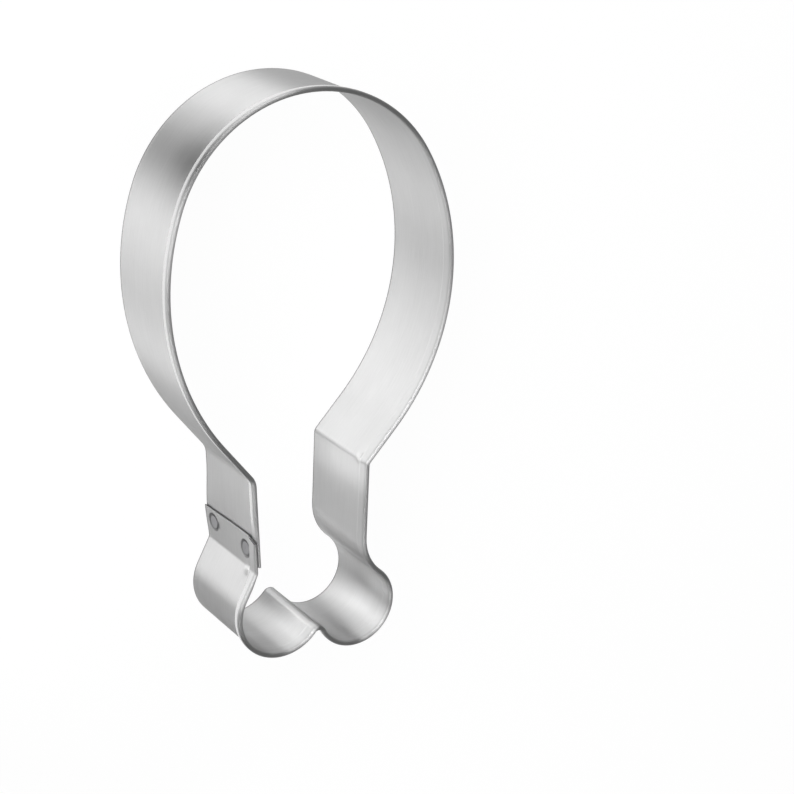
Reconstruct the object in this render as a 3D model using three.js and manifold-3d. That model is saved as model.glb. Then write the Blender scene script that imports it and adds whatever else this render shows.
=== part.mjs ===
import * as THREE from 'three';
import { mergeVertices } from 'three/addons/utils/BufferGeometryUtils.js';
import Module from 'manifold-3d';

// A drumstick cookie cutter: one hemmed tinplate strip, bent to shape and closed by a spot-welded lap.
// Lengths are in millimetres and angles in degrees. The cutting edge is down and the hemmed rim is up.
// +Y runs along the shank towards the top of the bulb, and X runs across it.

// Strip
const sheet = 0.3;
const stripDepth = 22.2;
const hemHeight = 2.2;
const hemSlit = 0.4;
const hemLean = 0.15;
const hemLeanRise = 0.6;
const hemTuck = 0.35;
const hemTuckRise = 1.1;

// Bulb, about its own centre
const bulbRadius = 30.1;
const rightSideStart = 30;
const rightSideRadius = 48.9;
const rightSideEnd = -43;
const leftSideStart = 19.3;
const leftSideRadius = 52.3;
const leftSideEnd = -38.5;

// Shank, measured where it crosses the level shankLevel
const shankLevel = -60;
const shankHalfWidth = 12.7;
const rightShankLean = 1.7;
const leftShankLean = 2.7;
const rightShoulderBend = 1.6;
const leftShoulderBend = 4;

// End lobes
const rightLobeX = 10.7;
const rightLobeY = -82;
const rightLobeRadius = 8.6;
const rightNeckBend = 11.3;
const leftLobeX = 7;
const leftLobeY = -79.1;
const leftLobeRadius = 9.7;
const leftNeckBend = 1.5;
const leftLobeFlat = 6;
const notchBend = 1.6;

// Lap and welds; the lap is measured down the shank from shankLevel
const lapStart = 1.5;
const lapLength = 6.1;
const lapGap = 0.1;
const lapRise = 0.7;
const lapRun = 4;
const weldRadius = 1.9;
const weldDent = 0.08;
const weldClearance = 0.05;
const edgeWeldInset = 2.85;
const edgeWeldHeight = 3.4;
const rimWeldInset = 3.6;
const rimWeldHeight = 16.9;

// Largest distance between a bend and the flats that stand for it
const sag = 0.02;

const vector = (x, y) => new THREE.Vector2(x, y);
const polar = (angle, length) => vector(Math.cos(angle) * length, Math.sin(angle) * length);
const along = (point, heading, length) => point.clone().addScaledVector(heading, length);
const outwardOf = (heading) => vector(-heading.y, heading.x);
const angleFrom = (centre, point) => Math.atan2(point.y - centre.y, point.x - centre.x);
const nearAngle = (angle, other) => angle - 2 * Math.PI * Math.round((angle - other) / (2 * Math.PI));
const ramp = (value, from, to) => THREE.MathUtils.clamp((value - from) / (to - from), 0, 1);
const radians = THREE.MathUtils.degToRad;

// Stations on a bend: points of the strip's middle line with the outward direction at each.
// Side is 1 where the bend's centre is inside the cutter and -1 where it is outside.
function bend(centre, radius, from, to, side) {
  const step = 2 * Math.acos(1 - sag / radius);
  const count = Math.max(2, Math.ceil(Math.abs(to - from) / step));
  const stations = [];
  for (let i = 0; i <= count; i += 1) {
    const angle = from + (to - from) * i / count;
    stations.push({ point: polar(angle, radius).add(centre), outward: polar(angle, side) });
  }
  return stations;
}

function mirror(stations) {
  return stations.map(({ point, outward }) => (
    { point: vector(-point.x, point.y), outward: vector(-outward.x, outward.y) }
  ));
}

// The point where two circles meet that lies lower on the cutter.
function lowerMeeting(first, firstRadius, second, secondRadius) {
  const apart = second.clone().sub(first);
  const length = apart.length();
  const heading = apart.divideScalar(length);
  const reach = (firstRadius ** 2 - secondRadius ** 2 + length ** 2) / (2 * length);
  const aside = Math.sqrt(firstRadius ** 2 - reach ** 2);
  const foot = along(first, heading, reach);
  const pair = [along(foot, outwardOf(heading), aside), along(foot, outwardOf(heading), -aside)];
  return pair[0].y < pair[1].y ? pair[0] : pair[1];
}

// Half of the bulb with its shoulder, from the top down, worked out as a right-hand side.
function bulbSide(sideStart, sideRadius, sideEnd, shank, shoulderBend) {
  const start = radians(sideStart);
  const end = radians(sideEnd);
  const sideCentre = polar(start, bulbRadius - sideRadius);
  const leaving = polar(end, sideRadius).add(sideCentre);
  const flat = vector(Math.sin(end), -Math.cos(end));
  const reach = shank.foot.clone().sub(leaving).cross(shank.heading) / flat.cross(shank.heading);
  const corner = along(leaving, flat, reach);
  const turn = Math.acos(flat.dot(shank.heading));
  const bendStart = along(corner, flat, -shoulderBend * Math.tan(turn / 2));
  const centre = along(bendStart, outwardOf(flat), shoulderBend);
  const from = angleFrom(centre, bendStart);
  return [
    ...bend(vector(0, 0), bulbRadius, Math.PI / 2, start, 1),
    ...bend(sideCentre, sideRadius, start, end, 1),
    ...bend(centre, shoulderBend, from, from + turn, -1),
  ];
}

// The bend from a shank to its lobe, the flat after it, and the lobe as far as the notch, worked out as a right-hand side.
function neckAndLobe(shank, lobe, lobeRadius, neckBend, notch, flat = 0) {
  const offset = along(shank.foot, outwardOf(shank.heading), neckBend).sub(lobe);
  const back = offset.dot(shank.heading);
  const reach = -back - Math.sqrt(back ** 2 - offset.lengthSq() + (lobeRadius + neckBend) ** 2 + flat ** 2);
  const centre = along(along(shank.foot, outwardOf(shank.heading), neckBend), shank.heading, reach);
  const neckStart = along(centre, outwardOf(shank.heading), -neckBend);
  const from = angleFrom(centre, neckStart);
  const lobeStart = angleFrom(lobe, centre) - Math.atan2(flat, lobeRadius + neckBend);
  const notchAngle = angleFrom(lobe, notch);
  const lobeEnd = notchAngle > lobeStart ? notchAngle - 2 * Math.PI : notchAngle;
  return {
    neck: bend(centre, neckBend, from, nearAngle(lobeStart + Math.PI, from), -1),
    lobe: bend(lobe, lobeRadius, lobeStart, lobeEnd, 1),
  };
}

function shankLine(lean, offset) {
  const heading = vector(-Math.sin(radians(lean)), -Math.cos(radians(lean)));
  return { heading, foot: along(vector(shankHalfWidth, shankLevel), outwardOf(heading), offset) };
}

// Bent line of the strip, from the inner end of the lap, round the bulb and the lobes, to the outer end.
const lapOffset = sheet + lapGap;
const rightShank = shankLine(rightShankLean, 0);
const leftShank = shankLine(leftShankLean, 0);
const lapShank = shankLine(leftShankLean, lapOffset);
const rightLobe = vector(rightLobeX, rightLobeY);
const leftLobe = vector(leftLobeX, leftLobeY);
const notch = lowerMeeting(
  rightLobe,
  rightLobeRadius + notchBend,
  vector(-leftLobe.x, leftLobe.y),
  leftLobeRadius + notchBend,
);
const leftBulb = bulbSide(leftSideStart, leftSideRadius, leftSideEnd, leftShank, leftShoulderBend);
const rightBulb = bulbSide(rightSideStart, rightSideRadius, rightSideEnd, rightShank, rightShoulderBend);
const rightEnd = neckAndLobe(rightShank, rightLobe, rightLobeRadius, rightNeckBend, notch);
const leftEnd = neckAndLobe(
  lapShank,
  leftLobe,
  leftLobeRadius,
  leftNeckBend,
  vector(-notch.x, notch.y),
  leftLobeFlat,
);
const notchFrom = angleFrom(notch, rightLobe);
const notchTo = nearAngle(angleFrom(notch, vector(-leftLobe.x, leftLobe.y)), notchFrom);

const leftStation = (shank, down) => (
  { point: along(shank.foot, shank.heading, down), outward: outwardOf(shank.heading) }
);
const stations = [
  ...mirror([leftStation(leftShank, lapStart + lapLength)]),
  ...mirror(leftBulb).reverse(),
  ...rightBulb,
  ...rightEnd.neck,
  ...rightEnd.lobe,
  ...bend(notch, notchBend, notchFrom, notchTo, -1),
  ...mirror([...leftEnd.neck, ...leftEnd.lobe]).reverse(),
  ...mirror([leftStation(lapShank, lapStart)]),
].filter(({ point }, i, all) => i === 0 || point.distanceTo(all[i - 1].point) > sag);

// Distance of each station from the outer end, for the place where the strip starts to step over the inner hem.
let travelled = 0;
for (let i = stations.length - 1; i >= 0; i -= 1) {
  travelled += i === stations.length - 1 ? 0 : stations[i].point.distanceTo(stations[i + 1].point);
  stations[i].fromEnd = travelled;
}

// Section of the strip, across the sheet and up, for a given step of the rim outwards.
const foldHeight = stripDepth - sheet - hemSlit / 2;
const hemEdge = stripDepth - hemHeight;
const lapStepTop = hemEdge - hemSlit;
const lapStepFoot = lapStepTop - lapRise;
const leanFoot = hemEdge - hemLeanRise;
const levels = [0, lapStepFoot, leanFoot, lapStepTop, hemEdge, foldHeight];
const tuckStart = hemEdge + hemTuckRise;
const flapLevels = [tuckStart, (tuckStart + hemEdge) / 2, hemEdge];
const outerFoldFlats = 10;
const innerFoldFlats = 6;

function section(step) {
  const middle = (height) => (
    step * ramp(height, lapStepFoot, lapStepTop) - hemLean * ramp(height, leanFoot, hemEdge)
  );
  const tuck = (height) => hemTuck * ramp(height, tuckStart, hemEdge) ** 2;
  const fold = middle(foldHeight) + (sheet + hemSlit) / 2;
  const outerRadius = sheet + hemSlit / 2;
  const innerRadius = hemSlit / 2;
  const points = levels.map((height) => vector(middle(height) + sheet / 2, height));
  for (let i = 1; i <= innerFoldFlats; i += 1) {
    points.push(polar(Math.PI * (1 - i / innerFoldFlats), innerRadius).add(vector(fold, foldHeight)));
  }
  points.push(...flapLevels.map((height) => vector(fold + innerRadius - tuck(height), height)));
  points.push(...flapLevels.map((height) => vector(fold + outerRadius - tuck(height), height)).reverse());
  for (let i = 0; i < outerFoldFlats; i += 1) {
    points.push(polar(Math.PI * i / outerFoldFlats, outerRadius).add(vector(fold, foldHeight)));
  }
  points.push(...levels.map((height) => vector(middle(height) - sheet / 2, height)).reverse());
  return points;
}

// The hemmed strip carried along its bent line, closed at both ends.
function stripGeometry() {
  const lapReach = stations.at(-1).point.distanceTo(mirror(leftEnd.neck)[0].point);
  const fullStep = sheet + hemSlit;
  const positions = [];
  for (const { point, outward, fromEnd } of stations) {
    const step = fullStep * (1 - ramp(fromEnd, lapReach, lapReach + lapRun));
    for (const across of section(step)) {
      positions.push(point.x + outward.x * across.x, point.y + outward.y * across.x, across.y);
    }
  }
  const around = section(0).length;
  const indices = [];
  for (let i = 0; i + 1 < stations.length; i += 1) {
    for (let j = 0; j < around; j += 1) {
      const here = i * around + j;
      const beside = i * around + (j + 1) % around;
      indices.push(here, beside, beside + around, here, beside + around, here + around);
    }
  }
  const last = (stations.length - 1) * around;
  for (const [a, b, c] of THREE.ShapeUtils.triangulateShape(section(0), [])) {
    indices.push(a, c, b);
  }
  for (const [a, b, c] of THREE.ShapeUtils.triangulateShape(section(fullStep), [])) {
    indices.push(last + a, last + b, last + c);
  }
  const geometry = new THREE.BufferGeometry();
  geometry.setAttribute('position', new THREE.Float32BufferAttribute(positions, 3));
  geometry.setIndex(indices);
  return geometry;
}

// Places a shape drawn along +Y so that +Y points out of the lap, at a weld.
function atWeld(geometry, { inset, height }) {
  const { point, outward } = mirror([leftStation(leftShank, lapStart + inset)])[0];
  geometry.rotateZ(Math.atan2(-outward.x, outward.y));
  return geometry.translate(point.x, point.y, height);
}

// A spot weld through both laps, dished on both faces by the welding tips.
function weldGeometry(weld) {
  const radius = weldRadius - weldClearance;
  const dish = radius * 0.8;
  const innerFace = -sheet / 2;
  const outerFace = lapOffset + sheet / 2;
  const profile = [
    vector(0, innerFace + weldDent),
    vector(dish, innerFace + weldDent),
    vector(radius, innerFace),
    vector(radius, outerFace),
    vector(dish, outerFace - weldDent),
    vector(0, outerFace - weldDent),
  ];
  return atWeld(new THREE.LatheGeometry(profile, 32), weld);
}

const wasm = await Module();
wasm.setup();

function toSolid(geometry) {
  const bare = geometry.clone();
  bare.deleteAttribute('normal');
  bare.deleteAttribute('uv');
  const merged = mergeVertices(bare, 1e-5);
  return new wasm.Manifold(new wasm.Mesh({
    numProp: 3,
    vertProperties: new Float32Array(merged.attributes.position.array),
    triVerts: new Uint32Array(merged.index.array),
  }));
}

function toGeometry(solid) {
  const mesh = solid.getMesh();
  const geometry = new THREE.BufferGeometry();
  geometry.setAttribute('position', new THREE.BufferAttribute(mesh.vertProperties, 3));
  geometry.setIndex(new THREE.BufferAttribute(mesh.triVerts, 1));
  return geometry;
}

const welds = {
  spot_weld_edge_side: { inset: edgeWeldInset, height: edgeWeldHeight },
  spot_weld_rim_side: { inset: rimWeldInset, height: rimWeldHeight },
};
let band = toSolid(stripGeometry());
for (const weld of Object.values(welds)) {
  const drill = new THREE.CylinderGeometry(weldRadius, weldRadius, 4 * lapOffset, 32);
  band = band.subtract(toSolid(atWeld(drill.translate(0, lapOffset / 2, 0), weld)));
}

const tinplate = new THREE.MeshStandardMaterial({ name: 'tinplate', color: 0xc9cbcd, metalness: 1, roughness: 0.3 });
const weldMetal = new THREE.MeshStandardMaterial({ name: 'weld_metal', color: 0xb4b6b8, metalness: 1, roughness: 0.4 });
const cutter = new THREE.Group();
cutter.name = 'cookie_cutter';

function addPart(name, geometry, material) {
  geometry.computeVertexNormals();
  const mesh = new THREE.Mesh(geometry, material);
  mesh.name = name;
  cutter.add(mesh);
}

addPart('cutter_band', toGeometry(band), tinplate);
for (const [name, weld] of Object.entries(welds)) {
  addPart(name, weldGeometry(weld), weldMetal);
}

// The origin is the middle of the cutter's outline, on the table under the cutting edge.
const middle = new THREE.Box3().setFromObject(cutter).getCenter(new THREE.Vector3());
for (const mesh of cutter.children) {
  mesh.geometry.translate(-middle.x, -middle.y, 0);
}

export default cutter;
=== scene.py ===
"""Looks of a drumstick cookie cutter: one hemmed tinplate strip, bent to shape and closed by a
spot-welded lap."""
import math

import bpy
import numpy as np
from bpy.props import FloatProperty, FloatVectorProperty, PointerProperty
from mathutils import Matrix


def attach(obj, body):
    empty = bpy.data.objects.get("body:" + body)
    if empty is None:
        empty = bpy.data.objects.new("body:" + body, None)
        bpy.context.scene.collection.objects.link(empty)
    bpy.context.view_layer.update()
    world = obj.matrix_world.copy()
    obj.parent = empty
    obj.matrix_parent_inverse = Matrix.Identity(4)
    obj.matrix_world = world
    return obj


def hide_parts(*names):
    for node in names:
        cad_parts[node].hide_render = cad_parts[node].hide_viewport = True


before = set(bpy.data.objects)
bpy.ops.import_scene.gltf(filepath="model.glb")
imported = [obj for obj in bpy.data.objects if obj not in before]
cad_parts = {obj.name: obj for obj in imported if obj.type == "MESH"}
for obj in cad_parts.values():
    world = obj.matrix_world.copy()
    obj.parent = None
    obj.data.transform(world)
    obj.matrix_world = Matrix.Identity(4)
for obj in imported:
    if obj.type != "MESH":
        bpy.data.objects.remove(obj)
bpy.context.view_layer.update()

bl_info = {
    "name": "Drumstick cookie cutter",
    "version": (1, 0, 0),
    "blender": (4, 5, 0),
    "location": "3D View > Sidebar > Cutter",
    "description": "Builds a bent and spot-welded tinplate cookie cutter and the stage it lies on",
    "category": "Object",
}

MM = 0.001
BAND = "tinplate_band"
WELDS = {"edge_side_weld": "spot_weld_edge_side", "rim_side_weld": "spot_weld_rim_side"}


def linear(code):
    """An sRGB hex colour as linear red, green and blue, by the standard curve: a straight part up
    to 0.04045 and a power of 2.4 above it."""
    values = np.array([int(code[i:i + 2], 16) for i in (1, 3, 5)]) / 255
    curved = ((values + 0.055) / 1.055) ** 2.4
    return tuple(float(v) for v in np.where(values <= 0.04045, values / 12.92, curved))


def length(label, millimetres, description):
    """A length property whose default is given in millimetres."""
    return FloatProperty(name=label, description=description, default=millimetres * MM,
                         unit="LENGTH", precision=5)


def angle(label, degrees, description):
    """An angle property whose default is given in degrees."""
    return FloatProperty(name=label, description=description, default=math.radians(degrees),
                         unit="ROTATION")


def factor(label, amount, description):
    """A property that runs from 0 to 1."""
    return FloatProperty(name=label, description=description, default=amount,
                         subtype="FACTOR", min=0, max=1)


def colour(label, code, description):
    """A colour property whose default is given as an sRGB hex value."""
    return FloatVectorProperty(name=label, description=description, default=linear(code),
                               subtype="COLOR", min=0, max=1)


class CutterSizes(bpy.types.PropertyGroup):
    """Sizes of the bent strip: the solid model's, apart from the hem's height and tuck rise, and
    from the bow and gape, which are drawn here alone."""

    sheet: length("Sheet", 0.3, "Thickness of the tinplate")
    depth: length("Strip depth", 22.2, "From the cutting edge to the rim")
    hem: length("Hem height", 2.5, "Height of the folded rim")
    slit: length("Hem slit", 0.4, "Open space inside the fold")
    lean: length("Hem lean", 0.15, "How far the hemmed rim leans inwards")
    lean_rise: length("Hem lean rise", 0.6, "Height over which the rim comes to lean")
    tuck: length("Hem tuck", 0.35, "How far the flap's lower edge is tucked in towards the wall")
    tuck_rise: length("Hem tuck rise", 1.25, "Height of the flap over which it is tucked in")
    bulb: length("Bulb radius", 30.1, "Radius of the top of the bulb")
    right_side: length("Right side radius", 48.9, "Radius of the bulb's right side")
    right_start: angle("Right side start", 30, "Where the right side leaves the top of the bulb")
    right_end: angle("Right side end", -43, "Where the right side runs into its flat")
    left_side: length("Left side radius", 52.3, "Radius of the bulb's left side")
    left_start: angle("Left side start", 19.3, "Where the left side leaves the top of the bulb")
    left_end: angle("Left side end", -38.5, "Where the left side runs into its flat")
    level: length("Shank level", -60, "Height on the outline at which the shank is measured")
    half_width: length("Shank half width", 12.7, "Half the width of the shank")
    right_lean: angle("Right shank lean", 1.7, "Taper of the shank's right side")
    left_lean: angle("Left shank lean", 2.7, "Taper of the shank's left side")
    right_shoulder: length("Right shoulder bend", 1.6, "Bend radius of the right shoulder")
    left_shoulder: length("Left shoulder bend", 4, "Bend radius of the left shoulder")
    right_lobe_x: length("Right lobe across", 10.7, "Right lobe's distance from the middle")
    right_lobe_y: length("Right lobe along", -82, "Right lobe's place along the outline")
    right_lobe: length("Right lobe radius", 8.6, "Radius of the right lobe")
    right_neck: length("Right neck bend", 11.3, "Bend radius between the shank and the right lobe")
    left_lobe_x: length("Left lobe across", 7, "Left lobe's distance from the middle")
    left_lobe_y: length("Left lobe along", -79.1, "Left lobe's place along the outline")
    left_lobe: length("Left lobe radius", 9.7, "Radius of the left lobe")
    left_neck: length("Left neck bend", 1.5, "Bend radius between the lap and the left lobe")
    left_flat: length("Left lobe flat", 6, "Flat between the neck's bend and the left lobe")
    notch: length("Notch bend", 1.6, "Bend radius between the lobes")
    lap_start: length("Lap start", 1.5, "Outer end of the lap, down the shank from its level")
    lap_length: length("Lap length", 6.1, "How far the two ends overlap")
    lap_gap: length("Lap gap", 0.1, "Space between the two laps")
    lap_rise: length("Lap rise", 0.7, "Height of the step over the inner hem")
    lap_run: length("Lap run", 4, "Length of strip in which the step comes up")
    weld: length("Weld radius", 1.9, "Radius of a spot weld")
    edge_weld_inset: length("Edge-side weld inset", 2.85,
                            "From the lap's outer end to the weld near the cutting edge")
    edge_weld: length("Edge-side weld height", 3.4, "Height of the weld near the cutting edge")
    rim_weld_inset: length("Rim-side weld inset", 3.6,
                           "From the lap's outer end to the weld near the rim")
    rim_weld: length("Rim-side weld height", 16.9, "Height of the weld near the rim")
    bow: length("Joint bow", 0.5, "How far the joint is sprung outwards at the cutting edge")
    gape: length("Lap gape", 0.05, "How far the lap's outer end stands off at the cutting edge")


class CutterFinish(bpy.types.PropertyGroup):
    """Colours and polish of the tinplate."""

    tin: colour("Tin", "#CFCFCF", "Bright tin plating")
    tin_dull: colour("Dull tin", "#C2C2C2", "Where the plating has dulled")
    # Darker tint on the fold: painted shade that dims the fold's highlight.
    fold_shade_tin: colour("Fold", "#BCBCBC", "Plating thinned and darkened by the folding of the rim")
    # Lighter tint low on the flap: a painted highlight, beside the real burnish of lower roughness.
    bead_highlight_tin: colour("Bead", "#EAEAEA", "Plating burnished by the folding rolls low on the flap")
    # Bare steel at the cut edges, spread up both faces as a painted contact shadow along the
    # cutting edge and as painted shadow on the end faces.
    cut_edge_and_shade: colour("Cut edge", "#7A7A7B", "Bare steel at the cut edges of the sheet")
    weld_tint: colour("Weld", "#8C8C8E", "Pressed and heated tin on the welds")
    weld_dull: colour("Weld blotches", "#9E9EA0", "Lighter blotches on the welds")
    # Dark ring round the welds: heat tint and painted shade at the press's rim.
    ring_heat_and_shade: colour("Weld ring", "#3C3C3E", "Heat ring round the welds")
    roughness: factor("Roughness", 0.5, "Roughness of the plating")
    fold_roughness: factor("Fold roughness", 0.46, "Roughness of the fold")
    bead_roughness: factor("Bead roughness", 0.25, "Roughness of the burnished bead")
    ripple: length("Ripple", 0.012, "Height of the faint waves in the rolled sheet")
    grain: factor("Rolling grain", 0.95, "Strength of the rolled grain")


class CutterStage(bpy.types.PropertyGroup):
    """Floor and camera."""

    floor: colour("Floor", "#FBFBFB", "Colour of the floor")
    camera_place: FloatVectorProperty(
        name="Camera place", description="Where the camera stands",
        default=(-0.193128, 0.146451, 0.359935), unit="LENGTH", precision=5)
    lens: FloatProperty(
        name="Lens", description="Focal length of the camera in millimetres", default=93.53,
        unit="CAMERA")


# The camera's own right, up and backward directions, and the width of its sensor in millimetres.
CAMERA_AXES = (
    (0.84988, 0.017152, 0.526696),
    (0.17428, 0.934081, -0.311638),
    (-0.497323, 0.356648, 0.790868),
)
SENSOR_WIDTH = 36
NEAREST_SEEN = 10 * MM

# Brightness of the world, where 1 is white.
WORLD_LEVEL = 0.25
WHITE = (*linear("#FFFFFF"), 1)

# Lamps: name, place, aim, width and height in millimetres, and brightness, where 1 is white.
# A far lamp is named for its bearing in degrees; the panels stand inside the shank.
SOFTBOXES = [
    ("top_softbox", (-10, 560, 215), (0, 0, 0), 380, 480, 2.61),
    ("over_softbox", (0, 20, 600), (0, 0, 0), 440, 440, 0.50),
    ("far_120", (-207, 359, 280), (0, 0, 10), 160, 240, 5.29),
    ("far_140", (-318, 266, 280), (0, 0, 10), 160, 240, 7.21),
    ("far_160", (-390, 142, 280), (0, 0, 10), 160, 240, 5.79),
    ("far_180", (-415, 0, 280), (0, 0, 10), 160, 240, 4.21),
    ("far_200", (-407, -148, 250), (0, 0, 10), 160, 190, 2.03),
    ("far_220", (-332, -278, 250), (0, 0, 10), 160, 190, 4.50),
    ("far_240", (-217, -375, 250), (0, 0, 10), 160, 190, 1.94),
    ("shank_panel", (-8, -29, 11), (12.5, -16.5, 11), 8, 18, 1.74),
    ("lobe_panel", (-9.5, -39.5, 11), (-4, -57, 11), 5, 18, 1.04),
]

# Curved dark cards: name, centre and radius in millimetres, first and last bearing in degrees,
# lower and upper edge in millimetres, and the share of the length over which each end thins out.
CARDS = [
    ("bulb_card", (-0.6, 30), 47, 107, 176, 8.5, 38.5, 0.5),
    ("foot_card", (-12, -45), 65, 185, 262, 0, 56, 0.1),
]
CARD_ROWS = 13
CARD_BLACK = (*linear("#191919"), 1)

# Half the floor's width in metres, its depth under the cutter, and how much of it glows white.
FLOOR_HALF = 3.0
FLOOR_DROP = 0.05 * MM
FLOOR_GLOW = 0.97

# Most that a bend turns from row to row, and the fewest steps of a bend and of a straight.
BEND_TURN = math.radians(3)
BEND_STEPS = 6
STRAIGHT_STEPS = 2

# Spacing of the rows along the strip, of those in the lap and welds, and of those of the box.
LINE_STEP = 1.4 * MM
WELD_STEP = 0.24 * MM
BOX_STEP = 0.2 * MM
# A row that is closer than this to the one before it is left out.
LEAST_STEP = 0.004 * MM

# Rows close to the strip's ends, to the cutting edge, to the flap's edge and to a crease.
END_STEPS = np.array([0.01, 0.03, 0.06, 0.1, 0.15, 0.25]) * MM
EDGE_STEPS = np.array([0, 0.02, 0.05, 0.08, 0.12, 0.2, 0.35, 0.7]) * MM
FLAP_STEPS = np.array([0.15, 0.09, 0.05, 0.02, 0]) * MM
DENT_STEPS = np.linspace(-2.4, 2.4, 17) * MM
# How far past a weld its close rows go, and how far above the flap's edge its own begin.
SPOT_MARGIN = 0.25 * MM
FLAP_MARGIN = 0.25 * MM
# Counts of rows between the welds, from the lap's step up to the fold, round it and down the flap.
BETWEEN_ROWS = 10
UPPER_ROWS = 20
FOLD_ROWS = 15
FLAP_ROWS = 12

# Turns a right-hand row of x, y and outward x, y into a left-hand one.
MIRROR = np.array([-1, 1, -1, 1])

# Radius of the rounding at an edge, and the share of the thickness that is left at the very edge.
CUT_ROUNDING = (0.12 * MM, 0.6)
FLAP_ROUNDING = (0.15 * MM, 0.3)
END_ROUNDING = (0.08 * MM, 0.75)

# The fold's painted shade on wall and flap, and the fade of the flap's polish and painted
# highlight, as shares of the hem.
WALL_FOLD_SHADE = 0.25
FLAP_FOLD_SHADE = 0.2
POLISH_AND_HIGHLIGHT_FADE = (0.55, 0.75)

# Where bare steel and a painted contact shadow fade out above the cutting edge, and how far
# bare steel and painted shadow reach in from the ends.
BARE_AND_SHADE_FADE = (0.2 * MM, 0.4 * MM)
BARE_AND_SHADE_END = 0.02 * MM

# In the lap: how far past it the hem stays pressed, how much of the hem's room is pressed out,
# and how much of the flap's polish and painted highlight is lost.
LAP_MARGIN = 1 * MM
LAP_PINCH = 0.9
LAP_DULL = 0.85

# The cut corner on the lap's outer end: its slope, and the run in which it fades out.
CORNER_CUT = 0.3
CORNER_RUN = 3 * MM

# The joint's bow: run above the lap, start of its fall, end of it in laps, and height on the wall.
BOW_RUN = 10 * MM
BOW_FALL = 0.5 * MM
BOW_LAPS = 1.4
BOW_HEIGHT = 16 * MM
# The lap's gape: its run along the strip and its height on the wall.
GAPE_RUN = 3 * MM
GAPE_HEIGHT = 9 * MM

# Dents: crease, distance along the strip from it, height on the wall, half width and depth.
DENTS = [
    ("right_shoulder", -0.9 * MM, 18.6 * MM, 0.9 * MM, 0.4 * MM),
    ("left_neck", -1.0 * MM, 17.9 * MM, 0.9 * MM, 0.4 * MM),
]

# A weld's press: its depth, and where its rim begins and ends, from the weld's radius.
WELD_PRESS = 0.14 * MM
PRESS_RIM = (-0.2 * MM, 0.1 * MM)
# A weld's dark ring, heat tint and painted shade at the press's rim: its inner and outer fade, its
# even share, and the bearing of the side where the painted shade is darkest.
RING_INNER = (-0.7 * MM, -0.45 * MM)
RING_OUTER = (0.02 * MM, 0.3 * MM)
RING_EVEN = 0.78
RING_SHADE_SIDE = math.radians(120)

# A weld's scar: inset from the weld's radius, rings as shares of its own radius, points round it.
SCAR_INSET = 0.45 * MM
SCAR_RINGS = np.array([0.02, 0.25, 0.5, 0.68, 0.8, 0.9, 0.96, 1.0])
SCAR_POINTS = 64
# How deep the scar lies, how far it swells near its edge, and how far the edge drops, with shares.
SCAR_SINK = 0.06 * MM
SCAR_SWELL = (0.03 * MM, 0.55, 0.85)
SCAR_DROP = (0.09 * MM, 0.88, 1.0)

# Patterns on the strip: length and width of a patch in millimetres, and detail of the noise.
# Real rolling lines are too fine to show, so they are drawn half a millimetre wide.
GRAIN = (20, 0.5, 3.0)
RIPPLE = (3.0, 1.6, 2.0)
CLOUD = (14, 7, 3.0)
STREAK = (4, 0.4, 4.0)
GRAIN_HEIGHT = 0.002 * MM
# Noise values between which the plating dulls, and between which the grain's roughness changes.
DULL_RANGE = (0.0, 0.8)
GRAIN_RANGE = (0.3, 0.7)
GRAIN_ROUGHNESS = (-0.04, 0.05)
# Turn of the shader's stretched highlights, which lays them across the grain.
QUARTER_TURN = 0.25

# Blotches on the welds: size of a blotch, detail of the noise, and range of the roughness.
BLOTCH = 1.111 * MM
BLOTCH_DETAIL = 3.0
BLOTCH_ROUGHNESS = (0.4, 0.55)


def outward(heading):
    """The direction out of the cutter, a quarter turn from a heading that runs down its
    right-hand side."""
    return np.array([-heading[1], heading[0]])


def turned(radians):
    """The unit vector at an angle."""
    return np.array([math.cos(radians), math.sin(radians)])


def bearing(centre, point):
    """The angle of a point seen from a centre."""
    return math.atan2(point[1] - centre[1], point[0] - centre[0])


def near_turn(radians, other):
    """The same angle, moved by whole turns until it is closest to another."""
    return radians - 2 * math.pi * round((radians - other) / (2 * math.pi))


def bend(centre, radius, start, stop, side, spacing):
    """Rows of x, y and outward x, y along an arc: the centre plus the radius times the unit vector
    at evenly stepped angles. Side is 1 where the arc's centre is inside the cutter and -1 where it
    is outside."""
    turn = abs(stop - start)
    steps = max(int(turn / BEND_TURN), int(turn * radius / spacing), BEND_STEPS)
    angles = np.linspace(start, stop, steps + 1)
    rays = np.column_stack([np.cos(angles), np.sin(angles)])
    return np.column_stack([centre + radius * rays, side * rays])


def straight(start, stop, spacing):
    """Rows of x, y and outward x, y between two such rows, evenly stepped and without the ends."""
    steps = max(int(np.hypot(*(stop - start)[:2]) / spacing), STRAIGHT_STEPS)
    return start + (stop - start) * np.linspace(0, 1, steps + 1)[1:-1, None]


def shank_line(sizes, lean, offset):
    """Heading and foot of a side of the shank: it leans from the vertical and is moved outwards by
    an offset."""
    heading = -np.array([math.sin(lean), math.cos(lean)])
    return heading, np.array([sizes.half_width, sizes.level]) + offset * outward(heading)


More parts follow.
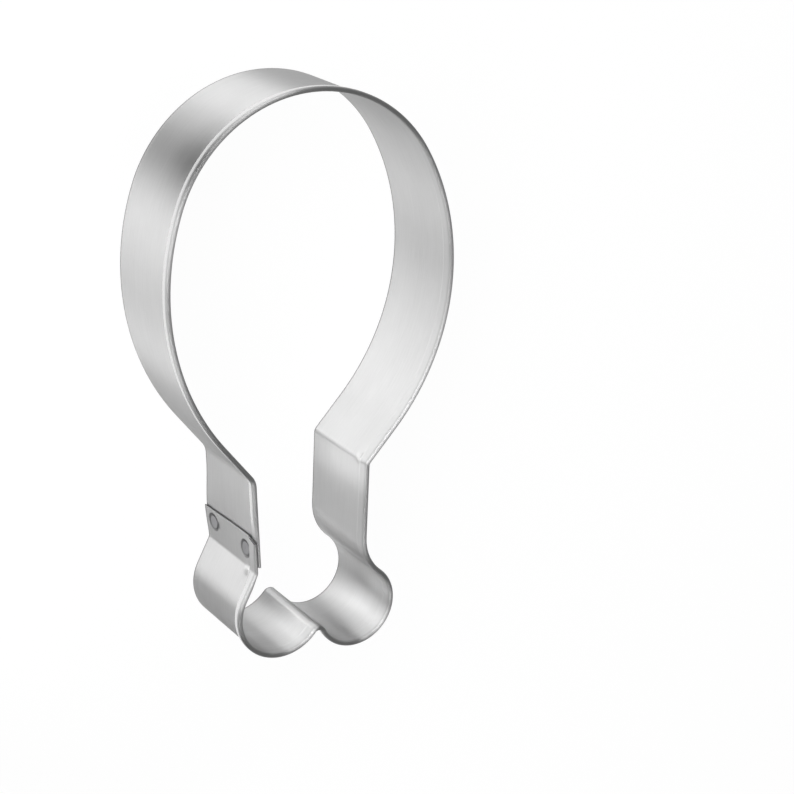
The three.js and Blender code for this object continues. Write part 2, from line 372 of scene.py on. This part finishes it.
def bulb_side(sizes, radius, start, stop, shank, shoulder, spacing):
    """Half the bulb from its top down, as a right-hand side: the top arc, a side arc that touches
    it from inside, a flat that leaves the side arc along its tangent, and the bend that turns the
    flat into the shank. The flat's length comes from where its line crosses the shank's."""
    heading, foot = shank
    centre = (sizes.bulb - radius) * turned(start)
    leaving = centre + radius * turned(stop)
    flat = np.array([math.sin(stop), -math.cos(stop)])
    crossing = np.linalg.solve(np.column_stack([flat, -heading]), foot - leaving)[0]
    turn = math.acos(flat @ heading)
    bend_start = leaving + (crossing - shoulder * math.tan(turn / 2)) * flat
    bend_centre = bend_start + shoulder * outward(flat)
    first = bearing(bend_centre, bend_start)
    top = bend(np.zeros(2), sizes.bulb, math.pi / 2, start, 1, spacing)
    side = bend(centre, radius, start, stop, 1, spacing)
    corner = bend(bend_centre, shoulder, first, first + turn, -1, spacing)
    return np.vstack([top, side[1:], straight(side[-1], corner[0], spacing), corner])


def neck_and_lobe(shank, lobe, radius, neck, notch, flat, spacing):
    """The bend from a shank to its lobe, a flat of the given length that touches both, and the
    lobe's arc as far as the notch, as a right-hand side. The bend's centre lies its radius off the
    shank, and its squared distance from the lobe's centre is that of both radii together plus that
    of the flat."""
    heading, foot = shank
    offset = foot + neck * outward(heading) - lobe
    back = offset @ heading
    down = -back - math.sqrt(back ** 2 - offset @ offset + (radius + neck) ** 2 + flat ** 2)
    centre = foot + neck * outward(heading) + down * heading
    first = bearing(centre, centre - outward(heading))
    start = bearing(lobe, centre) - math.atan2(flat, radius + neck)
    stop = bearing(lobe, notch)
    stop -= 2 * math.pi if stop > start else 0
    rows = bend(centre, neck, first, near_turn(start + math.pi, first), -1, spacing)
    lobe_rows = bend(lobe, radius, start, stop, 1, spacing)
    if flat:
        rows = np.vstack([rows, straight(rows[-1], lobe_rows[0], spacing), lobe_rows[:1]])
    return np.vstack([rows, lobe_rows[1:]])


def lower_meeting(first, first_radius, second, second_radius):
    """The lower of the two points where two circles meet: a distance along the line between their
    centres, from the difference of their squared radii, and half the shared chord to its side."""
    apart = second - first
    distance = np.hypot(*apart)
    heading = apart / distance
    along = (first_radius ** 2 - second_radius ** 2 + distance ** 2) / (2 * distance)
    aside = math.sqrt(first_radius ** 2 - along ** 2) * outward(heading)
    middle = first + along * heading
    return min((middle + aside, middle - aside), key=lambda point: point[1])


def bent_line(sizes, spacing, lap_spacing):
    """Rows of x, y and outward x, y along the strip's middle, from the lap's inner end, up the left
    side, over the bulb, down the right side, round both lobes and up the shank again to the lap's
    outer end, and the rows of its creases. The left side is worked out as a right-hand one and
    mirrored."""
    right = shank_line(sizes, sizes.right_lean, 0)
    left = shank_line(sizes, sizes.left_lean, 0)
    lap = shank_line(sizes, sizes.left_lean, sizes.sheet + sizes.lap_gap)
    right_lobe = np.array([sizes.right_lobe_x, sizes.right_lobe_y])
    left_lobe = np.array([sizes.left_lobe_x, sizes.left_lobe_y])
    across = left_lobe * MIRROR[:2]
    notch = lower_meeting(right_lobe, sizes.right_lobe + sizes.notch,
                          across, sizes.left_lobe + sizes.notch)
    left_bulb = bulb_side(sizes, sizes.left_side, sizes.left_start, sizes.left_end,
                          left, sizes.left_shoulder, spacing)
    right_bulb = bulb_side(sizes, sizes.right_side, sizes.right_start, sizes.right_end,
                           right, sizes.right_shoulder, spacing)
    right_end = neck_and_lobe(right, right_lobe, sizes.right_lobe, sizes.right_neck,
                              notch, 0, spacing)
    left_end = neck_and_lobe(lap, left_lobe, sizes.left_lobe, sizes.left_neck,
                             notch * MIRROR[:2], sizes.left_flat, spacing)
    first = bearing(notch, right_lobe)
    last = near_turn(bearing(notch, across), first)
    notch_rows = bend(notch, sizes.notch, first, last, -1, spacing)

    def station(line, down):
        """The row at a distance down a side of the shank."""
        return np.concatenate([line[1] + down * line[0], outward(line[0])])

    inner_end = station(left, sizes.lap_start + sizes.lap_length)
    inner_top = station(left, sizes.lap_start - LAP_MARGIN)
    outer_end = station(lap, sizes.lap_start)
    left_rows = np.vstack([left_bulb, straight(left_bulb[-1], inner_top, spacing), inner_top,
                           straight(inner_top, inner_end, lap_spacing), inner_end]) * MIRROR
    lap_rows = np.vstack([outer_end, straight(outer_end, left_end[0], lap_spacing),
                          left_end]) * MIRROR
    right_flat = straight(right_bulb[-1], right_end[0], spacing)
    line = np.vstack([left_rows[::-1], right_bulb[1:], right_flat, right_end, notch_rows[1:-1],
                      lap_rows[::-1]])
    return line, {"right_shoulder": right_bulb[-1], "left_neck": left_end[0] * MIRROR}


def smooth(values, start, stop):
    """The smooth step 3t2 - 2t3 from 0 at start to 1 at stop."""
    t = np.clip((values - start) / (stop - start), 0, 1)
    return t * t * (3 - 2 * t)


def rounded(distance, radius, least):
    """Share of the full thickness near a rounded edge: a quarter circle from the least share at
    the edge up to 1."""
    near = np.clip(distance / radius, 0, 1)
    return least + (1 - least) * np.sqrt(1 - (1 - near) ** 2)


def frame_shift(sizes):
    """From the bulb's centre to the part's own origin: the middle of the box that the rim takes up.
    The rim's outer face stands one and a half sheets and the slit off the strip's middle, less its
    lean."""
    rows = bent_line(sizes, BOX_STEP, BOX_STEP)[0]
    rim = rows[:, :2] + (sizes.sheet * 1.5 + sizes.slit - sizes.lean) * rows[:, 2:]
    return (rim.min(axis=0) + rim.max(axis=0)) / 2


def travel_of(rows):
    """Distance of each row from the first, measured along the line."""
    return np.concatenate([[0], np.cumsum(np.hypot(*np.diff(rows[:, :2], axis=0).T))])


def nearest_row(rows, place):
    """Number of the row that lies nearest to a place."""
    return np.argmin(np.hypot(*(rows[:, :2] - place[:2]).T))


def with_extra_rows(rows, creases):
    """The same line with extra rows, read off between its rows, close to both of its ends for their
    rounding and round its creases for the dents, and without rows that nearly coincide."""
    travel = travel_of(rows)
    around = [travel[nearest_row(rows, crease)] + DENT_STEPS for crease in creases.values()]
    stops = np.unique(np.concatenate([travel, END_STEPS, travel[-1] - END_STEPS, *around]))
    stops = stops[np.diff(stops, prepend=-1) > LEAST_STEP]
    return np.column_stack([np.interp(stops, travel, column) for column in rows.T])


def joint_bow(sizes, down, height):
    """How far the shank is sprung outwards: a smooth rise from above the lap to its outer end and
    a smooth fall to the neck, both measured down the shank, times a fade from the cutting edge up
    the wall."""
    start = sizes.lap_start
    rise = smooth(down, start - BOW_RUN, start)
    fall = 1 - smooth(down, start + BOW_FALL, start + BOW_LAPS * sizes.lap_length)
    return sizes.bow * rise * fall * (1 - smooth(height, 0, BOW_HEIGHT))


def strip_section(sizes):
    """Middle line of the folded sheet, from the cutting edge up the wall, round the fold and down
    the flap, as rows of: offset outwards, height, share of the lap's step, share of the full
    thickness, room left in the fold, painted shade of the fold, and polish and painted highlight of
    the flap's lower part.
    The wall leans in by a smooth step under the hem, the fold is half a circle, and the flap is
    tucked in by a cubic curve."""
    fold = sizes.depth - sizes.sheet - sizes.slit / 2
    hem_edge = sizes.depth - sizes.hem
    step_top = hem_edge - sizes.slit
    step_foot = step_top - sizes.lap_rise
    radius = (sizes.sheet + sizes.slit) / 2
    spot = np.arange(-sizes.weld - SPOT_MARGIN, sizes.weld + SPOT_MARGIN, WELD_STEP)
    low_spot, high_spot = sizes.edge_weld + spot, sizes.rim_weld + spot
    high_spot = high_spot[high_spot < step_foot]
    between = np.linspace(low_spot[-1], high_spot[0], BETWEEN_ROWS)[1:-1]
    upper = np.linspace(step_foot, fold, UPPER_ROWS)
    wall = np.concatenate([EDGE_STEPS, low_spot, between, high_spot, upper])
    angles = np.linspace(0, math.pi, FOLD_ROWS)[1:-1]
    flap = np.concatenate([np.linspace(fold, hem_edge + FLAP_MARGIN, FLAP_ROWS),
                           hem_edge + FLAP_STEPS])
    tuck = sizes.tuck * np.clip(1 - (flap - hem_edge) / sizes.tuck_rise, 0, 1) ** 3
    offset = np.concatenate([-sizes.lean * smooth(wall, hem_edge - sizes.lean_rise, hem_edge),
                             radius * (1 - np.cos(angles)) - sizes.lean,
                             2 * radius - sizes.lean - tuck])
    height = np.concatenate([wall, fold + radius * np.sin(angles), flap])
    step = np.concatenate([smooth(wall, step_foot, step_top), np.ones(len(angles) + len(flap))])
    thickness = np.concatenate([rounded(wall, *CUT_ROUNDING), np.ones(len(angles)),
                                rounded(flap - hem_edge, *FLAP_ROUNDING)])
    room = np.concatenate([np.zeros(len(wall)), sizes.slit * (1 - np.cos(angles)) / 2,
                           sizes.slit - tuck])
    fold_shade = np.concatenate([smooth(wall, fold - sizes.hem * WALL_FOLD_SHADE, fold), np.ones(len(angles)),
                           smooth(flap, fold - sizes.hem * FLAP_FOLD_SHADE, fold)])
    fade = [hem_edge + sizes.hem * share for share in POLISH_AND_HIGHLIGHT_FADE]
    polish_and_highlight = np.concatenate([np.zeros(len(wall) + len(angles)), 1 - smooth(flap, *fade)])
    return offset, height, step, thickness, room, fold_shade, polish_and_highlight


def weld_places(sizes):
    """Inset from the lap's outer end and height of each weld."""
    return ((sizes.edge_weld_inset, sizes.edge_weld), (sizes.rim_weld_inset, sizes.rim_weld))


def weld_field(sizes, along, height, field):
    """Sums over both welds a function of the distance from the weld's centre and the bearing round
    it."""
    total = 0
    for inset, level in weld_places(sizes):
        aside, above = along[:, None] - inset, (height - level)[None, :]
        total = total + field(sizes, np.hypot(aside, above), np.arctan2(above, aside))
    return total


def weld_recess(sizes, distance, _):
    """Depth of a weld's pressed dish: full inside the weld's radius, with a soft rim."""
    return WELD_PRESS * (1 - smooth(distance - sizes.weld, *PRESS_RIM))


def weld_ring_heat_and_shade(sizes, distance, bearing_round):
    """Darkness of the ring round a weld, heat tint and painted shade at the press's rim: a soft
    band at the weld's radius, with painted shade stronger on the side of the lap's outer end by the
    cosine of the bearing from there."""
    past = distance - sizes.weld
    band = smooth(past, *RING_INNER) * (1 - smooth(past, *RING_OUTER))
    return band * (RING_EVEN + (1 - RING_EVEN) * np.cos(bearing_round - RING_SHADE_SIDE))


def band_mesh(sizes):
    """The strip as a sheet of even thickness. Its middle surface is the bent line moved out by the
    section's offset, the lap's step, the joint's bow and the dents at the creases, and up by the
    section's height; both faces stand half a sheet off that surface, along the normal of the
    section's own line, and the sheet thins to a rounding at its edges and ends.
    Gives points, strip coordinates, bare steel with painted edge shadow, weld ring heat tint with
    painted shade, painted fold shade, and bead polish with painted highlight for each face, as
    grids of line by section."""
    line, creases = bent_line(sizes, LINE_STEP, WELD_STEP)
    rows = with_extra_rows(line, creases)
    travel = travel_of(rows)
    from_end = travel[-1] - travel
    to_end = np.minimum(travel, from_end)
    offset, height, step_share, thickness, room, fold_shade, polish_and_highlight = strip_section(sizes)
    hem_edge = sizes.depth - sizes.hem
    pressed = sizes.lap_length + LAP_MARGIN
    pinch = 1 - smooth(to_end, pressed, pressed + sizes.lap_run)
    step = sizes.sheet + sizes.slit * (1 - LAP_PINCH)
    step = step * (1 - smooth(from_end, pressed, pressed + sizes.lap_run))
    across = offset[None, :] + step[:, None] * step_share[None, :]
    across = across - LAP_PINCH * pinch[:, None] * room[None, :]
    for down in (sizes.lap_start + sizes.lap_length - travel, sizes.lap_start + from_end):
        across = across + joint_bow(sizes, down[:, None], height[None, :])
    gape = sizes.gape * (1 - smooth(from_end, 0, GAPE_RUN))
    across = across + gape[:, None] * (1 - smooth(height, 0, GAPE_HEIGHT))[None, :]
    for crease, lift, level, wide, depth in DENTS:
        at = travel[nearest_row(rows, creases[crease])] + lift
        apart = (travel[:, None] - at) ** 2 + (height - level)[None, :] ** 2
        across = across + depth * np.exp(-apart / wide ** 2)
    run_across = np.gradient(across, axis=1)
    run_up = np.gradient(height)[None, :]
    size = np.hypot(run_across, run_up)
    half = sizes.sheet / 2 * thickness[None, :] * rounded(to_end, *END_ROUNDING)[:, None]
    corner = CORNER_CUT * np.clip(height - hem_edge, 0, None)[None, :]
    corner = corner * (1 - smooth(from_end, 0, CORNER_RUN))[:, None]
    centre = rows[:, :2] - frame_shift(sizes)
    section = np.concatenate([[0], np.cumsum(np.hypot(np.diff(offset), np.diff(height)))])
    strip = np.stack(np.meshgrid(travel, section, indexing="ij"), axis=-1)
    # Bare steel at the cutting edge and ends, with a painted contact shadow up both faces and
    # painted shadow on the end faces.
    bare_and_shade = np.maximum(1 - smooth(height, *BARE_AND_SHADE_FADE)[None, :], (to_end < BARE_AND_SHADE_END)[:, None])
    # Painted shade on the fold.
    fold = np.broadcast_to(fold_shade[None, :], bare_and_shade.shape)
    # Burnish and painted highlight low on the flap, mostly lost in the lap.
    bead = (1 - LAP_DULL * pinch)[:, None] * polish_and_highlight[None, :]
    on_wall = (room == 0)[None, :]
    faces = []
    for side, along in ((1, from_end), (-1, sizes.lap_length - travel)):
        recess = weld_field(sizes, along, height, weld_recess) * on_wall
        ring_heat_and_shade = weld_field(sizes, along, height, weld_ring_heat_and_shade) * on_wall
        out = across + side * (half * run_up / size - recess)
        up = height[None, :] - side * half * run_across / size
        x = centre[:, :1] + out * rows[:, 2:3] - corner * rows[:, 3:]
        y = centre[:, 1:] + out * rows[:, 3:] + corner * rows[:, 2:3]
        faces.append((np.stack([x, y, up], axis=-1), strip, bare_and_shade, ring_heat_and_shade, fold, bead))
    return faces


def sheet_quads(stations, around):
    """Four-cornered faces of a closed sheet between two grids of points: the cells of the outer
    grid, those of the inner grid turned round, and a row of faces along each of four borders."""
    index = np.arange(stations * around).reshape(stations, around)
    other = index + stations * around
    cells = [
        (index[:-1, :-1], index[:-1, 1:], index[1:, 1:], index[1:, :-1]),
        (other[:-1, :-1], other[1:, :-1], other[1:, 1:], other[:-1, 1:]),
        (index[:-1, 0], index[1:, 0], other[1:, 0], other[:-1, 0]),
        (index[:-1, -1], other[:-1, -1], other[1:, -1], index[1:, -1]),
        (index[0, :-1], other[0, :-1], other[0, 1:], index[0, 1:]),
        (index[-1, :-1], index[-1, 1:], other[-1, 1:], other[-1, :-1]),
    ]
    return np.vstack([np.stack(corners, axis=-1).reshape(-1, 4) for corners in cells])


def weld_mesh(sizes, inset, level):
    """Points and four-cornered faces of a weld's scar: a disc's profile, sunk in the middle, turned
    about the weld's axis on both faces of the joint and closed through the middle, and moved out
    with the joint's bow."""
    heading, foot = shank_line(sizes, sizes.left_lean, 0)
    out, along = outward(heading) * MIRROR[:2], heading * MIRROR[:2]
    inner, outer = -sizes.sheet / 2, sizes.sheet * 1.5 + sizes.lap_gap
    swell, drop = (depth * smooth(SCAR_RINGS, start, stop)
                   for depth, start, stop in (SCAR_SWELL, SCAR_DROP))
    sink = SCAR_SINK - swell + drop
    radius = np.concatenate([SCAR_RINGS, SCAR_RINGS[::-1]]) * (sizes.weld - SCAR_INSET)
    depth = np.concatenate([outer - sink, (inner + sink)[::-1]])
    turns = np.linspace(0, 2 * math.pi, SCAR_POINTS, endpoint=False)
    down = sizes.lap_start + inset
    place = (foot + down * heading) * MIRROR[:2] - frame_shift(sizes)
    wide = radius[:, None] * np.cos(turns)
    tall = radius[:, None] * np.sin(turns)
    deep = depth[:, None] + joint_bow(sizes, down, level + tall)
    x = place[0] + deep * out[0] + wide * along[0]
    y = place[1] + deep * out[1] + wide * along[1]
    points = np.stack([x, y, level + tall], axis=-1).reshape(-1, 3)
    index = np.arange(wide.size).reshape(wide.shape)
    index = np.vstack([index, index[:1]])
    after = np.roll(index, -1, axis=1)
    quads = np.stack([index[:-1], index[1:], after[1:], after[:-1]], axis=-1).reshape(-1, 4)
    return points, quads


def put_mesh(name, points, quads, uv=None, attributes=None):
    """A mesh object at the origin from arrays of points and four-cornered faces."""
    mesh = bpy.data.meshes.new(name)
    mesh.vertices.add(len(points))
    mesh.vertices.foreach_set("co", points.astype(np.float32).ravel())
    mesh.loops.add(quads.size)
    mesh.loops.foreach_set("vertex_index", quads.astype(np.int32).ravel())
    mesh.polygons.add(len(quads))
    mesh.polygons.foreach_set("loop_start", np.arange(0, quads.size, 4, dtype=np.int32))
    mesh.polygons.foreach_set("loop_total", np.full(len(quads), 4, dtype=np.int32))
    mesh.update(calc_edges=True)
    if uv is not None:
        layer = mesh.uv_layers.new(name="strip")
        layer.data.foreach_set("uv", uv[quads.ravel()].astype(np.float32).ravel())
    for key, values in (attributes or {}).items():
        data = mesh.attributes.new(key, "FLOAT", "POINT").data
        data.foreach_set("value", values.astype(np.float32).ravel())
    mesh.validate()
    mesh.shade_smooth()
    piece = bpy.data.objects.new(name, mesh)
    bpy.context.scene.collection.objects.link(piece)
    return piece


def add_node(tree, kind, settings=None, inputs=None):
    """Adds a node, sets its own settings and sets or links its inputs, which are known by name or
    number: a socket is linked, anything else is a value."""
    node = tree.nodes.new(kind)
    for key, value in (settings or {}).items():
        setattr(node, key, value)
    for key, value in (inputs or {}).items():
        if isinstance(value, bpy.types.NodeSocket):
            tree.links.new(value, node.inputs[key])
        else:
            node.inputs[key].default_value = value
    return node


def new_material(name):
    """A node material without nodes, and its tree."""
    material = bpy.data.materials.new(name)
    material.use_nodes = True
    material.node_tree.nodes.clear()
    return material, material.node_tree


def tin_plated_steel(finish):
    """Bright tin on cold-rolled steel: a clean satin metal whose fine rolling grain runs along the
    strip and draws its highlights out across it, a little duller in faint streaks, burnished at the
    hem with a painted highlight low on the flap and painted shade on the fold, bare and grey at the
    cut edges with a painted contact shadow along the cutting edge, and dark round the welds with
    heat tint and painted shade."""
    material, tree = new_material("tin_plated_rolled_steel")
    strip = add_node(tree, "ShaderNodeUVMap", {"uv_map": "strip"}).outputs["UV"]

    def pattern(long, wide, detail):
        """Noise on the strip whose patches are so many millimetres long and wide."""
        stretched = add_node(tree, "ShaderNodeMapping", None, {
            "Vector": strip, "Scale": (1 / (long * MM), 1 / (wide * MM), 1)})
        noise = add_node(tree, "ShaderNodeTexNoise", None, {
            "Vector": stretched.outputs["Vector"], "Scale": 1.0, "Detail": detail})
        return noise.outputs["Fac"]

    grain = pattern(*GRAIN)
    clouded = add_node(tree, "ShaderNodeMath", {"operation": "MULTIPLY"}, {
        0: pattern(*CLOUD), 1: pattern(*STREAK)})
    dull = add_node(tree, "ShaderNodeMapRange", None, {
        "Value": clouded.outputs["Value"], "From Min": DULL_RANGE[0], "From Max": DULL_RANGE[1]})
    tint = add_node(tree, "ShaderNodeMix", {"data_type": "RGBA"}, {
        "Factor": dull.outputs["Result"], "A": (*finish.tin, 1), "B": (*finish.tin_dull, 1)})
    rough = add_node(tree, "ShaderNodeMapRange", None, {
        "Value": grain, "From Min": GRAIN_RANGE[0], "From Max": GRAIN_RANGE[1],
        "To Min": finish.roughness + GRAIN_ROUGHNESS[0],
        "To Max": finish.roughness + GRAIN_ROUGHNESS[1]})
    # Painted marks: shade on the fold, a highlight low on the flap, bare steel with painted contact
    # shadow at the edges and ends, and heat tint with painted shade round the welds.
    for mark, shade, roughness in (("fold", finish.fold_shade_tin, finish.fold_roughness),
                                   ("bead", finish.bead_highlight_tin, finish.bead_roughness),
                                   ("cut_edge_and_shade", finish.cut_edge_and_shade, None),
                                   ("weld_ring_heat_and_shade", finish.ring_heat_and_shade, None)):
        amount = add_node(tree, "ShaderNodeAttribute", {"attribute_name": mark}).outputs["Fac"]
        if roughness is not None:
            rough = add_node(tree, "ShaderNodeMix", {"data_type": "FLOAT"}, {
                "Factor": amount, "A": rough.outputs["Result"], "B": roughness})
        tint = add_node(tree, "ShaderNodeMix", {"data_type": "RGBA"}, {
            "Factor": amount, "A": tint.outputs["Result"], "B": (*shade, 1)})
    waves = add_node(tree, "ShaderNodeBump", None, {
        "Height": pattern(*RIPPLE), "Strength": 1.0, "Distance": finish.ripple})
    lines = add_node(tree, "ShaderNodeBump", None, {
        "Height": grain, "Strength": 1.0, "Distance": GRAIN_HEIGHT,
        "Normal": waves.outputs["Normal"]})
    tangent = add_node(tree, "ShaderNodeTangent", {"direction_type": "UV_MAP", "uv_map": "strip"})
    shader = add_node(tree, "ShaderNodeBsdfPrincipled", None, {
        "Base Color": tint.outputs["Result"], "Metallic": 1.0,
        "Roughness": rough.outputs["Result"], "Anisotropic": finish.grain,
        "Anisotropic Rotation": QUARTER_TURN, "Tangent": tangent.outputs["Tangent"],
        "Normal": lines.outputs["Normal"]})
    add_node(tree, "ShaderNodeOutputMaterial", None, {"Surface": shader.outputs["BSDF"]})
    return material


def weld_scar(finish):
    """Tin pressed and heated by the welding tips: greyer and duller than the sheet, a little
    blotched."""
    material, tree = new_material("spot_weld_scar")
    place = add_node(tree, "ShaderNodeTexCoord")
    blotch = add_node(tree, "ShaderNodeTexNoise", None, {
        "Vector": place.outputs["Object"], "Scale": 1 / BLOTCH, "Detail": BLOTCH_DETAIL})
    tint = add_node(tree, "ShaderNodeMix", {"data_type": "RGBA"}, {
        "Factor": blotch.outputs["Fac"], "A": (*finish.weld_tint, 1), "B": (*finish.weld_dull, 1)})
    rough = add_node(tree, "ShaderNodeMapRange", None, {
        "Value": blotch.outputs["Fac"],
        "To Min": BLOTCH_ROUGHNESS[0], "To Max": BLOTCH_ROUGHNESS[1]})
    shader = add_node(tree, "ShaderNodeBsdfPrincipled", None, {
        "Base Color": tint.outputs["Result"], "Metallic": 1.0,
        "Roughness": rough.outputs["Result"]})
    add_node(tree, "ShaderNodeOutputMaterial", None, {"Surface": shader.outputs["BSDF"]})
    return material


def graded_card(name, soft):
    """Black card that thins out towards both ends over a share of its length, so that its
    reflection has soft ends."""
    material, tree = new_material(name)
    strip = add_node(tree, "ShaderNodeUVMap", {"uv_map": "strip"})
    along = add_node(tree, "ShaderNodeSeparateXYZ", None, {
        "Vector": strip.outputs["UV"]}).outputs["X"]
    ramp = {"interpolation_type": "SMOOTHSTEP"}
    begin = add_node(tree, "ShaderNodeMapRange", ramp, {
        "Value": along, "From Min": 0.0, "From Max": soft})
    end = add_node(tree, "ShaderNodeMapRange", ramp, {
        "Value": along, "From Min": 1.0, "From Max": 1.0 - soft})
    thick = add_node(tree, "ShaderNodeMath", {"operation": "MULTIPLY"}, {
        0: begin.outputs["Result"], 1: end.outputs["Result"]})
    clear = add_node(tree, "ShaderNodeBsdfTransparent")
    black = add_node(tree, "ShaderNodeBsdfDiffuse", None, {"Color": CARD_BLACK})
    mixed = add_node(tree, "ShaderNodeMixShader", None, {
        "Fac": thick.outputs["Value"], 1: clear.outputs["BSDF"], 2: black.outputs["BSDF"]})
    add_node(tree, "ShaderNodeOutputMaterial", None, {"Surface": mixed.outputs["Shader"]})
    return material


def white_paper(stage):
    """Matt white paper that takes the cutter's soft shadow, and that the camera and the metal see
    as nearly pure white."""
    material, tree = new_material("white_paper")
    paper = add_node(tree, "ShaderNodeBsdfDiffuse", None, {"Color": (*stage.floor, 1)})
    glow = add_node(tree, "ShaderNodeEmission", None, {"Color": WHITE, "Strength": 1.0})
    path = add_node(tree, "ShaderNodeLightPath")
    seen = path.outputs["Is Camera Ray"]
    for ray in ("Is Glossy Ray", "Is Transmission Ray"):
        seen = add_node(tree, "ShaderNodeMath", {"operation": "MAXIMUM"}, {
            0: seen, 1: path.outputs[ray]}).outputs["Value"]
    amount = add_node(tree, "ShaderNodeMath", {"operation": "MULTIPLY"}, {
        0: seen, 1: FLOOR_GLOW})
    mixed = add_node(tree, "ShaderNodeMixShader", None, {
        "Fac": amount.outputs["Value"], 1: paper.outputs["BSDF"], 2: glow.outputs["Emission"]})
    add_node(tree, "ShaderNodeOutputMaterial", None, {"Surface": mixed.outputs["Shader"]})
    return material


def seated(axes, place):
    """The matrix of an object whose own x, y and z run along the given axes from a place."""
    return Matrix(np.vstack([np.column_stack([*axes, place]), [0, 0, 0, 1]]).tolist())


def put_lamp(scene, name, place, aim, wide, tall, level):
    """An area lamp that faces its aim: its power is its brightness times pi times its area."""
    light = bpy.data.lights.new(name, "AREA")
    light.shape = "RECTANGLE"
    light.size = wide * MM
    light.size_y = tall * MM
    light.energy = level * math.pi * light.size * light.size_y
    lamp = bpy.data.objects.new(name, light)
    back = np.subtract(place, aim) * MM
    back /= np.linalg.norm(back)
    side = np.cross([0, 0, 1], back)
    side /= np.linalg.norm(side)
    lamp.matrix_world = seated((side, np.cross(back, side), back), np.array(place) * MM)
    lamp.visible_camera = False
    scene.collection.objects.link(lamp)


def put_card(name, centre, radius, first, last, low, high, soft):
    """A dark card on an upright arc: the centre plus the radius times the unit vector at evenly
    stepped bearings, at a lower and an upper height."""
    along, up = (grid.ravel() for grid in np.meshgrid(
        np.linspace(0, 1, CARD_ROWS), [0, 1], indexing="ij"))
    turn = np.radians(first + (last - first) * along)
    points = np.column_stack([centre[0] + radius * np.cos(turn),
                              centre[1] + radius * np.sin(turn), low + (high - low) * up])
    index = np.arange(len(points)).reshape(-1, 2)
    quads = np.column_stack([index[:-1, 0], index[1:, 0], index[1:, 1], index[:-1, 1]])
    card = put_mesh(name, points * MM, quads, np.column_stack([along, up]))
    card.data.materials.append(graded_card(name, soft))
    card.visible_camera = card.visible_diffuse = False


class CUTTER_OT_band(bpy.types.Operator):
    """Builds the hemmed strip"""

    bl_idname = "cutter.band"
    bl_label = "Hemmed strip"

    def execute(self, context):
        faces = band_mesh(context.scene.cutter_sizes)
        points, strip, bare_and_shade, ring_heat_and_shade, fold, bead = (np.stack(grids) for grids in zip(*faces))
        quads = sheet_quads(*bare_and_shade.shape[1:])
        marks = {"cut_edge_and_shade": bare_and_shade, "weld_ring_heat_and_shade": ring_heat_and_shade, "fold": fold, "bead": bead}
        piece = put_mesh(BAND, points.reshape(-1, 3), quads, strip.reshape(-1, 2), marks)
        piece.data.materials.append(tin_plated_steel(context.scene.cutter_finish))
        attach(piece, "root")
        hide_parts("cutter_band")
        return {"FINISHED"}


class CUTTER_OT_welds(bpy.types.Operator):
    """Builds the two spot welds"""

    bl_idname = "cutter.welds"
    bl_label = "Spot welds"

    def execute(self, context):
        sizes = context.scene.cutter_sizes
        material = weld_scar(context.scene.cutter_finish)
        for (name, node), (inset, level) in zip(WELDS.items(), weld_places(sizes)):
            piece = put_mesh(name, *weld_mesh(sizes, inset, level))
            piece.data.materials.append(material)
            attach(piece, "root")
            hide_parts(node)
        return {"FINISHED"}


class CUTTER_OT_stage(bpy.types.Operator):
    """Builds the floor, the lights and the camera"""

    bl_idname = "cutter.stage"
    bl_label = "Stage"

    def execute(self, context):
        scene = context.scene
        stage = scene.cutter_stage
        corners = np.array([[-1, -1, 0], [1, -1, 0], [1, 1, 0], [-1, 1, 0]]) * FLOOR_HALF
        floor = put_mesh("floor", corners - [0, 0, FLOOR_DROP], np.array([[0, 1, 2, 3]]))
        floor.data.materials.append(white_paper(stage))
        scene.world = bpy.data.worlds.new("studio")
        scene.world.use_nodes = True
        background = scene.world.node_tree.nodes["Background"]
        background.inputs["Color"].default_value = WHITE
        background.inputs["Strength"].default_value = WORLD_LEVEL
        for lamp in SOFTBOXES:
            put_lamp(scene, *lamp)
        for card in CARDS:
            put_card(*card)
        camera = bpy.data.cameras.new("camera")
        camera.lens = stage.lens
        camera.sensor_width = SENSOR_WIDTH
        camera.clip_start = NEAREST_SEEN
        seat = bpy.data.objects.new("camera", camera)
        seat.matrix_world = seated(CAMERA_AXES, stage.camera_place)
        scene.collection.objects.link(seat)
        scene.camera = seat
        scene.view_settings.view_transform = "Standard"
        return {"FINISHED"}


class CUTTER_PT_panel(bpy.types.Panel):
    """Lists the cutter's sizes, finish and builders"""

    bl_idname = "CUTTER_PT_panel"
    bl_label = "Cookie cutter"
    bl_space_type = "VIEW_3D"
    bl_region_type = "UI"
    bl_category = "Cutter"

    def draw(self, context):
        for operator in (CUTTER_OT_band, CUTTER_OT_welds, CUTTER_OT_stage):
            self.layout.operator(operator.bl_idname)
        for key in GROUPS:
            group = getattr(context.scene, key)
            column = self.layout.column()
            for field in group.__annotations__:
                column.prop(group, field)


GROUPS = {"cutter_sizes": CutterSizes, "cutter_finish": CutterFinish, "cutter_stage": CutterStage}
CLASSES = (*GROUPS.values(), CUTTER_OT_band, CUTTER_OT_welds, CUTTER_OT_stage, CUTTER_PT_panel)


def register():
    """Registers the classes and hangs the property groups on the scene."""
    for item in CLASSES:
        bpy.utils.register_class(item)
    for key, group in GROUPS.items():
        setattr(bpy.types.Scene, key, PointerProperty(type=group))


def unregister():
    """Takes back what register did."""
    for key in GROUPS:
        delattr(bpy.types.Scene, key)
    for item in reversed(CLASSES):
        bpy.utils.unregister_class(item)


def main():
    """Builds every piece and the stage."""
    register()
    bpy.ops.cutter.band()
    bpy.ops.cutter.welds()
    bpy.ops.cutter.stage()


if __name__ == "__main__":
    main()
